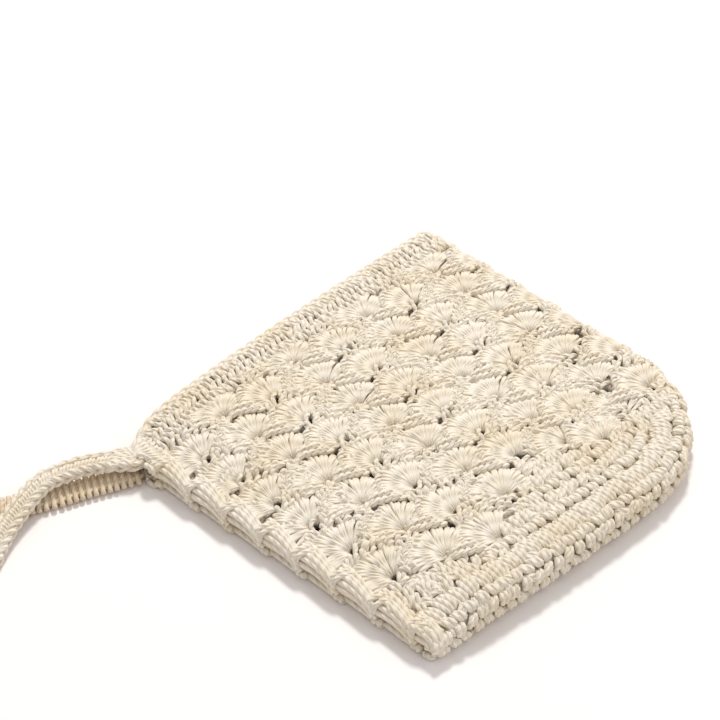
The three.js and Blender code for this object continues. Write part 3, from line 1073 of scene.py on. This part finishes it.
@dataclass(frozen=True)
class NeckEdging(Stitching):
    """The open neck edge: long leaning strands held by an upright loop at each pair of rows."""

    repeat: float = 16.45
    last: float = 70.0

    def build(self) -> None:
        """Makes the edging of both layers."""
        yarn = Yarn("neck_edging_stitches")
        rng = yarn.random
        form = self.form
        for layer, start, rows in ((Layer.TOP, -74.0, TOP_EDGE_ROWS), (Layer.UNDER, -71.0, UNDER_EDGE_ROWS)):
            x = np.arange(start, self.last, self.repeat)
            x = x + rng.normal(0, 0.3, len(x))
            for k, (high, low, lift) in enumerate(rows):
                along = np.array([0.0, 0.08, 0.5, 0.9, 1.0]) * self.repeat * 1.14 + 0.5 * k
                above = np.array([high, high * 0.95, (high + low) / 2 + 0.3, low, low - 0.2])
                px = np.minimum(x[:, None] + along[None], self.last + 2.5 + 0.2 * np.arange(5))
                py = form.neck_y(px) + above[None] + rng.normal(0, 0.12, (len(x), 1))
                heights = np.array([-1.9, -0.5, 0.2, -0.5, -1.6]) + lift + rng.normal(0, 0.12, (len(x), 1))
                keep = (px[:, 2] < self.last) & (px[:, 0] > form.face_x(py[:, 0]) + 0.5)
                plan = np.stack([px, py], axis=-1)
                yarn.lay(form, layer, plan, heights, 1.15, steps=11, pitch=3.6, keep=keep)
            posts = np.arange(start + 1.6 + self.repeat, self.last, self.repeat)
            for offset in (0.0, 2.0):
                px = posts[:, None] + offset + np.array([3.4, 2.0, 0.5, -0.5, -0.4])[None]
                px = px + rng.normal(0, 0.25, (len(posts), 1))
                py = form.neck_y(px) + np.array([7.4, 5.6, 3.0, 0.6, -0.4])[None]
                heights = np.array([-1.7, 0.0, 0.4, -0.5, -3.2])
                yarn.lay(form, layer, np.stack([px, py], -1), heights, 1.05, steps=9)
        yarn.made(self.wool, ("neck_edging",))
        self.seen.extend(yarn.covered)


@dataclass(frozen=True)
class Ground:
    """The inside of the fabric, seen only in the depth between the strands. Its colour holds painted shade:
    a little between the strands, a dark brown in the holes, and half as much on the faces inside the bonnet.
    """

    form: FlatForm
    outer: float = 1.7
    inner: float = 4.2
    edge_inset: float = 1.6
    # How far the ground's colour goes toward the painted dark brown: between the strands, in the holes on
    # top of that, and on the faces inside the bonnet.
    shade_between: float = 0.18
    shade_in_hole: float = 0.82
    shade_inside: float = 0.5

    def sheet(self, inset: float, side: int, along: np.ndarray, down: np.ndarray) -> np.ndarray:
        """Lays out one face of the ground.

        Args:
            inset: How far it lies inside the fabric's outside.
            side: 1 for the top layer and -1 for the under one.
            along: Shares from the face edge to the back, as a grid.
            down: Shares from the fold to the neck edge, as a grid.

        Returns:
            Points of shape (columns, rows, 3).
        """
        form = self.form
        crown_x, crown_y = form.crown
        diagonal = (form.crown_radius - inset) * math.sqrt(0.5)
        across_y = crown_y + diagonal + (-form.half_height + form.neck_rise - crown_y - diagonal) * down
        left = form.face_x(form.half_height - down * form.face_height) + self.edge_inset
        right = form.back_x(across_y, inset)
        face_start = form.face_corner - form.half_depth
        x_top = face_start + (crown_x + diagonal - face_start) * along
        top = form.fold_y(x_top, inset)
        bottom = form.neck_y(left + (right - left) * along) + self.edge_inset
        x = left + (right - left) * along
        y = top + (bottom - top) * down
        middle = form.wall + form.hollow_at(x, y) / 2
        radius = form.roll_radius - inset
        at_fold = np.sqrt(1 - (1 - np.clip(down * (top - bottom) / radius, 0, 1)) ** 2)
        at_back = np.sqrt(1 - (1 - np.clip((1 - along) * (right - left) / radius, 0, 1)) ** 2)
        flat = at_fold * at_back
        return np.stack([x, y, middle + side * (middle - inset) * flat], axis=-1)

    def sunk_with_painted_shade(self, sheet: np.ndarray, layer: Layer, pits: np.ndarray) -> np.ndarray:
        """Sinks a sheet where there is a hole between the stitches.

        Args:
            sheet: Points of shape (columns, rows, 3), whose heights are changed.
            layer: The layer it belongs to.
            pits: Rows of x, y and radius.

        Returns:
            How deep in a hole each point is, from 0 to 1. The ground's painted shade follows it.
        """
        centres, _ = self.form.place(pits[:, :2], np.zeros(len(pits)), layer)
        shade = np.zeros(sheet.shape[:2])
        for centre, radius in zip(centres, pits[:, 2]):
            away = np.hypot(sheet[..., 0] - centre[0], sheet[..., 1] - centre[1])
            shade = np.maximum(shade, 1 - eased((away / (radius + 1.5) - 0.66) / 0.5))
        sheet[..., 2] -= layer.value * (self.inner - self.outer - 0.5) * shade
        return shade

    def build(self, wool: bpy.types.Material, pits: dict[Layer, np.ndarray]) -> None:
        """Makes the ground as one closed wall that is open inside.

        Args:
            wool: The wool.
            pits: The holes of each layer, as rows of x, y and radius.
        """
        near = np.array([0.0, 0.002, 0.006, 0.012, 0.02, 0.032])
        down = np.concatenate([near, np.linspace(0.04, 1, 112)])
        along = 1 - np.concatenate([near, np.linspace(0.04, 1, 106)])[::-1]
        a, d = np.meshgrid(along, down, indexing="ij")
        sheets = [self.sheet(i, s, a, d) for i in (self.outer, self.inner) for s in (1, -1)]
        shades = [self.sunk_with_painted_shade(sheet, layer, pits[layer]) for sheet, layer in zip(sheets, Layer)]
        # How much painted shade each point gets: a little between the strands, full in the holes, half on
        # the inside faces.
        shades = [self.shade_between + self.shade_in_hole * shade for shade in shades]
        shades += [np.full(a.shape, self.shade_inside)] * 2
        columns, rows = a.shape
        size = columns * rows
        index = np.arange(size).reshape(columns, rows)
        quad = np.stack([index[:-1, :-1], index[1:, :-1], index[1:, 1:], index[:-1, 1:]], -1).reshape(-1, 4)
        faces = [quad[:, ::-1], quad + size, quad + 2 * size, quad[:, ::-1] + 3 * size]
        for line in (index[0], index[:, -1]):
            for k in (0, 1):
                near_edge, far_edge = line + k * size, line + (2 + k) * size
                faces.append(np.stack([near_edge[:-1], near_edge[1:], far_edge[1:], far_edge[:-1]], -1))
        every = np.concatenate(faces)
        points = np.concatenate([s.reshape(-1, 3) for s in sheets])
        shade = np.concatenate([s.ravel() for s in shades])
        _, first, merged = np.unique(np.round(points, 3), axis=0, return_index=True, return_inverse=True)
        points = points[first]
        every = merged.reshape(-1)[every]
        corners = [list(dict.fromkeys(f)) for f in every]
        three = np.array([f for f in corners if len(f) == 3], int).reshape(-1, 3)
        every = np.array([f for f in corners if len(f) == 4])
        uvs = [np.stack([points[f][..., 0] / 3, points[f][..., 1] / 9], -1) for f in (every, three)]
        piece = mesh_piece("fabric_ground", points, [every, three], uvs)
        # The depth colour holds how much painted shade each point gets.
        depth = piece.data.color_attributes.new("depth", "FLOAT_COLOR", "POINT")
        depth.data.foreach_set("color", np.repeat(shade[first], 4).astype(np.float32))
        dress(piece, wool, ("shell_crown", "face_band", "back_panel", "neck_edging"))


@dataclass(frozen=True)
class FillStitches(Stitching):
    """Small stitches where the fans and the bands leave the ground bare."""

    cell: float = 0.8
    cover: float = 1.25
    apart: float = 2.3

    def bare(self, pits: np.ndarray) -> np.ndarray:
        """Finds bare places on the top layer.

        Args:
            pits: The holes that stay open, as rows of x, y and radius.

        Returns:
            Places of shape (count, 2).
        """
        low = np.array([-84.0, -88.0])
        shape = (211, 220)
        covered = np.zeros(shape, bool)
        cells = np.round((np.concatenate(self.seen) - low) / self.cell).astype(int)
        near = range(-int(self.cover / self.cell) - 1, int(self.cover / self.cell) + 2)
        for i, j in ((i, j) for i in near for j in near if math.hypot(i, j) * self.cell <= self.cover):
            columns = np.clip(cells[:, 0] + i, 0, shape[0] - 1)
            covered[columns, np.clip(cells[:, 1] + j, 0, shape[1] - 1)] = True
        places = np.argwhere(~covered) * self.cell + low
        distance, _ = self.form.outline_distance(places)
        over_neck = places[:, 1] - self.form.neck_y(places[:, 0])
        past_face = places[:, 0] - self.form.face_x(places[:, 1])
        places = places[(distance > 0.5) & (over_neck > 1.5) & (past_face > 2.0)]
        gap = np.linalg.norm(places[:, None] - pits[None, :, :2], axis=-1) - pits[None, :, 2]
        return places[gap.min(axis=1) > 0.6]

    def build(self, pits: np.ndarray) -> None:
        """Makes the stitches.

        Args:
            pits: The holes that stay open, as rows of x, y and radius.
        """
        yarn = Yarn("fill_stitches")
        places = self.bare(pits)
        yarn.random.shuffle(places)
        chosen = np.zeros((0, 2))
        for place in places:
            if len(chosen) == 0 or np.linalg.norm(chosen - place, axis=1).min() > self.apart:
                chosen = np.concatenate([chosen, place[None]])
        turn = yarn.random.normal(0, 0.5, len(chosen))
        ahead = np.stack([-np.cos(turn), np.sin(turn)], -1)
        aside = np.stack([np.sin(turn), np.cos(turn)], -1)
        plan, heights = knots(yarn.random, chosen, ahead, aside, (4.6, 1.7), 0.2, 2)
        yarn.lay(self.form, Layer.TOP, plan, heights - 0.25, 0.92)
        yarn.made(self.wool, ("shell_crown", "back_panel"))


class TieEnd(Enum):
    """The two ties, by the layer they are joined to."""

    UPPER = "tie_upper"
    LOWER = "tie_lower"


@dataclass(frozen=True)
class Tie:
    """A flat crocheted tie that leaves the neck's front corner and lies on the table."""

    form: FlatForm
    end: TieEnd
    length: float
    line: tuple[tuple[float, float, float], ...]
    width: float = 7.5
    thickness: float = 3.4
    stitch: float = 5.0
    start: tuple[float, float] = (-63.8, -83.0)
    bonnet_at_neck: float = 9.3
    lift: float = 3.3

    def ribbon(self) -> Ribbon:
        """Turns the tie's table into its line in the part's frame.

        Returns:
            The tie's surface. The upper tie starts on the bonnet's corner and lies on the lower one.
        """
        slope = self.form.neck_rise / self.form.neck_length
        table = np.array(self.line)
        x = self.start[0] - table[:, 1] * self.length
        y = self.start[1] - 0.3 - slope * self.width / 2 - table[:, 0] * self.length
        z = self.thickness / 2 + table[:, 2] * (self.bonnet_at_neck - self.thickness) / 2
        if self.end is TieEnd.UPPER:
            share = table[:, 0] * self.length
            z = z + self.lift * (1 - eased((share - 28) / 40))
            aside = (2.0 + 0.7 * eased((share - 40) / 20)) * math.sqrt(0.5)
            x, y = x - aside, y + aside
            x, y, z = np.append(x[0] - 0.2, x), np.append(y[0] + 7.0, y), np.append(z[0] + 0.7, z)
        else:
            x, y = x - 0.8, y + 0.8
        knots_on_line = np.stack([x, y, z], axis=-1)
        return Ribbon(smoothed(knots_on_line[None], 160)[0], self.thickness / 2 - 0.75)

    def build(self, wool: bpy.types.Material) -> None:
        """Makes the tie.

        Args:
            wool: The wool.
        """
        ribbon = self.ribbon()
        length = np.linalg.norm(np.diff(ribbon.line, axis=0), axis=1).sum()
        yarn = Yarn(f"{self.end.value}_stitches")
        core, across, up = ribbon.frames(np.linspace(0.6, length - 0.8, 60))
        for offset in (-1.7, 0.0, 1.7) if self.end is TieEnd.UPPER else (-2.6, -0.9, 0.8, 2.4):
            yarn.sweep((core + across * offset)[None], up[:1], np.full((1, 60), 1.15), 3.4)
        count = int(length / (self.stitch * 0.5))
        at = (np.arange(count) + 0.5) * length / count
        for layer in Layer:
            if self.end is TieEnd.UPPER:
                self.corded(yarn, ribbon, layer, length)
            else:
                self.ribbed(yarn, ribbon, layer, at)
        if self.end is TieEnd.UPPER:
            self.root(yarn, ribbon)
        yarn.made(wool, (self.end.value,))

    def root(self, yarn: Yarn, ribbon: Ribbon) -> None:
        """Carries strands of the face band and of the neck edge on into the tie.

        Args:
            yarn: The piece to add to.
            ribbon: The tie's surface.
        """
        form = self.form
        offsets = np.linspace(-0.5, 0.5, 7)
        spread = offsets + 0.5
        from_band = np.stack([form.face_x(np.array(-74.0)) + 1.4 + spread * 12.0, np.full(7, -73.0)], -1)
        at_edge = np.stack([form.face_x(np.array(-80.0)) + 1.6 + spread * 9.4, np.full(7, -79.5)], -1)
        start, _ = form.place(from_band, np.full(7, -0.9), Layer.TOP)
        edge, normal = form.place(at_edge, np.full(7, 0.2), Layer.TOP)
        tail = []
        for along, height in ((9.0, 0.4), (14.0, 0.2), (18.0, -1.4)):
            spot = np.stack([np.full(7, along), -offsets * (self.width - 0.8)], -1)
            tail.append(ribbon.place(spot, np.full(7, height), Layer.TOP)[0])
        path = smoothed(np.stack([start, edge, *tail], axis=1), 16)
        yarn.sweep(path, normal, np.full(path.shape[:2], 0.98), 3.0)

    def corded(self, yarn: Yarn, ribbon: Ribbon, layer: Layer, length: float) -> None:
        """Lays a cord along each edge of the tie and short ribs in the hollow between them.

        Args:
            yarn: The piece to add to.
            ribbon: The tie's surface.
            layer: Its upper or under face.
            length: The tie's length.
        """
        along = np.linspace(0.4, length - 0.9, 130)
        at_root = 1 - eased((along - 3) / 14)
        tucked = 1.5 * (1 - eased(along / 7))
        for across, turn_length, raised in ((2.7, 8.0, 0.35), (-2.6, 8.6, 0.2)):
            for ply in (0.0, math.pi):
                turn = along / turn_length * 2 * math.pi * math.copysign(1, across) + ply
                widened = 1 + at_root * (0.55 if across > 0 else 0.2)
                side = across * widened + 0.72 * np.cos(turn)
                heights = raised - 0.35 + 0.62 * np.sin(turn) - tucked
                plan = np.stack([along, side], -1)[None]
                yarn.lay(ribbon, layer, plan, heights, 0.92, steps=190, pitch=2.8)
        at = np.arange(3.0, length - 1.5, 2.7)
        at = at + yarn.random.normal(0, 0.15, len(at))
        side = np.array([-2.2, -1.5, 0.0, 1.3, 2.0])
        for lead in (0.0, 1.25):
            leaning = at[:, None] + lead + 0.45 * side[None]
            plan = np.stack([leaning, np.broadcast_to(side, leaning.shape)], -1)
            heights = np.array([-1.1, -0.25, -0.25, -0.5, -1.3]) + 0.1 * lead
            yarn.lay(ribbon, layer, plan, heights, 0.78)

    def ribbed(self, yarn: Yarn, ribbon: Ribbon, layer: Layer, at: np.ndarray) -> None:
        """Lays ribs straight across the tie.

        Args:
            yarn: The piece to add to.
            ribbon: The tie's surface.
            layer: Its upper or under face.
            at: Where the ribs are along it.
        """
        shares = np.array([-0.5, -0.4, 0.0, 0.4, 0.5]) * (self.width + 2.8)
        plan = np.stack([at[:, None] + 0.12 * shares[None], np.broadcast_to(shares, (len(at), 5))], -1)
        yarn.lay(ribbon, layer, plan, np.array([-1.5, -0.4, 0.1, -0.4, -1.5]), 0.95, steps=9)


# The line of each tie: out from the neck edge and toward the face, as shares of its length, and up.
UPPER_TIE_LINE = (
    (0.0, 0.0, 0.74),
    (0.03, 0.008, 0.76),
    (0.126, 0.075, 0.78),
    (0.213, 0.124, 0.75),
    (0.309, 0.156, 0.7),
    (0.4, 0.168, 0.66),
    (0.504, 0.144, 0.62),
    (0.597, 0.112, 0.57),
    (0.683, 0.075, 0.48),
    (0.765, 0.031, 0.34),
    (0.852, -0.019, 0.14),
    (0.936, -0.063, 0.01),
    (0.987, -0.088, 0.0),
)
LOWER_TIE_LINE = (
    (0.0, -0.02, 0.04),
    (0.03, -0.018, 0.03),
    (0.171, 0.044, 0.0),
    (0.32, 0.106, 0.0),
    (0.447, 0.15, 0.0),
    (0.544, 0.198, 0.0),
    (0.68, 0.262, 0.0),
    (0.792, 0.33, 0.0),
    (0.898, 0.4, 0.0),
)


@dataclass(frozen=True)
class Studio:
    """A white table top under soft daylight, and the camera where the photograph was taken from."""

    azimuth: float = 45.0
    elevation: float = 41.0
    distance: float = 750.0
    target: tuple[float, float, float] = (-51.75, 16.6, 0.0)
    focal: float = 99.25
    table_half: float = 3000.0
    room: str = "#fbfaff"
    room_light: float = 0.61
    # Name, place in metres, size in metres and power in watts.
    lamps: tuple[tuple[str, tuple[float, float, float], float, float], ...] = (
        ("window", (-0.6, 0.74, 1.45), 0.3, 20.0),
        ("fill", (0.9, 0.5, 1.3), 1.2, 3.5),
    )

    def camera(self) -> None:
        """Sets up the camera."""
        a, e = math.radians(self.azimuth), math.radians(self.elevation)
        back = Vector((math.sin(a) * math.cos(e), -math.cos(a) * math.cos(e), math.sin(e)))
        data = bpy.data.cameras.new("view")
        data.lens = self.focal
        data.sensor_width = 36.0
        data.dof.use_dof = False
        data.clip_start = 0.01
        data.clip_end = 20.0
        camera = bpy.data.objects.new("view", data)
        camera.location = (Vector(self.target) + back * self.distance) * MM
        camera.rotation_euler = back.to_track_quat("Z", "Y").to_euler()
        bpy.context.scene.collection.objects.link(camera)
        bpy.context.scene.camera = camera

    def floor(self) -> None:
        """Lays the white table top."""
        half = self.table_half
        points = np.array([[-half, -half, 0], [half, -half, 0], [half, half, 0], [-half, half, 0]])
        top = mesh_piece("table_top", points, [np.array([[0, 1, 2, 3]])], [np.zeros((1, 4, 2))])
        top.location.z = -0.2 * MM
        top.data.materials.append(MattPaint().material("matt_white_table"))

    def light(self) -> None:
        """Hangs a window lamp behind the bonnet and a weak wide one beside it; the room fills the rest."""
        scene = bpy.context.scene
        world = bpy.data.worlds.new("room")
        scene.world = world
        world.use_nodes = True
        background = world.node_tree.nodes["Background"]
        background.inputs["Color"].default_value = linear(self.room)
        background.inputs["Strength"].default_value = self.room_light
        for name, place, size, power in self.lamps:
            data = bpy.data.lights.new(name, "AREA")
            data.size = size
            data.energy = power
            data.color = (1.0, 0.985, 0.96)
            lamp = bpy.data.objects.new(name, data)
            lamp.location = place
            lamp.rotation_euler = (Vector(place) - Vector((-0.02, 0, 0))).to_track_quat("Z", "Y").to_euler()
            scene.collection.objects.link(lamp)
        scene.view_settings.view_transform = "Standard"
        scene.view_settings.look = "None"


def main() -> None:
    """Builds the studio and every piece of the bonnet."""
    logging.basicConfig(level=logging.INFO, format="%(name)s: %(message)s")
    studio = Studio()
    studio.camera()
    studio.floor()
    studio.light()
    form = FlatForm()
    wool = SpunWool().material("undyed_three_ply_wool")
    # The wool for the ground, with painted shade in its holes and gaps.
    hole_shaded_wool = SpunWool().material("undyed_wool_deep_in_the_fabric", with_painted_hole_shade=True)
    seen: list[np.ndarray] = []
    shells = Shells(form, wool, seen)
    pits = {layer: shells.pits(layer) for layer in Layer}
    Ground(form).build(hole_shaded_wool, pits)
    shells.build()
    FaceBand(form, wool, seen).build()
    BackPanel(form, wool, seen).build()
    NeckEdging(form, wool, seen).build()
    FillStitches(form, wool, seen).build(pits[Layer.TOP])
    Tie(form, TieEnd.UPPER, 78.0, UPPER_TIE_LINE).build(wool)
    # A darker copy of the wool for the lower tie: painted shade for the shadow of the upper tie that lies
    # over it.
    tie_shadow_wool = SpunWool(pale="#e6d4b8", straw="#dcc5a2").material("undyed_wool_from_a_darker_fleece")
    Tie(form, TieEnd.LOWER, 66.0, LOWER_TIE_LINE).build(tie_shadow_wool)


if __name__ == "__main__":
    main()
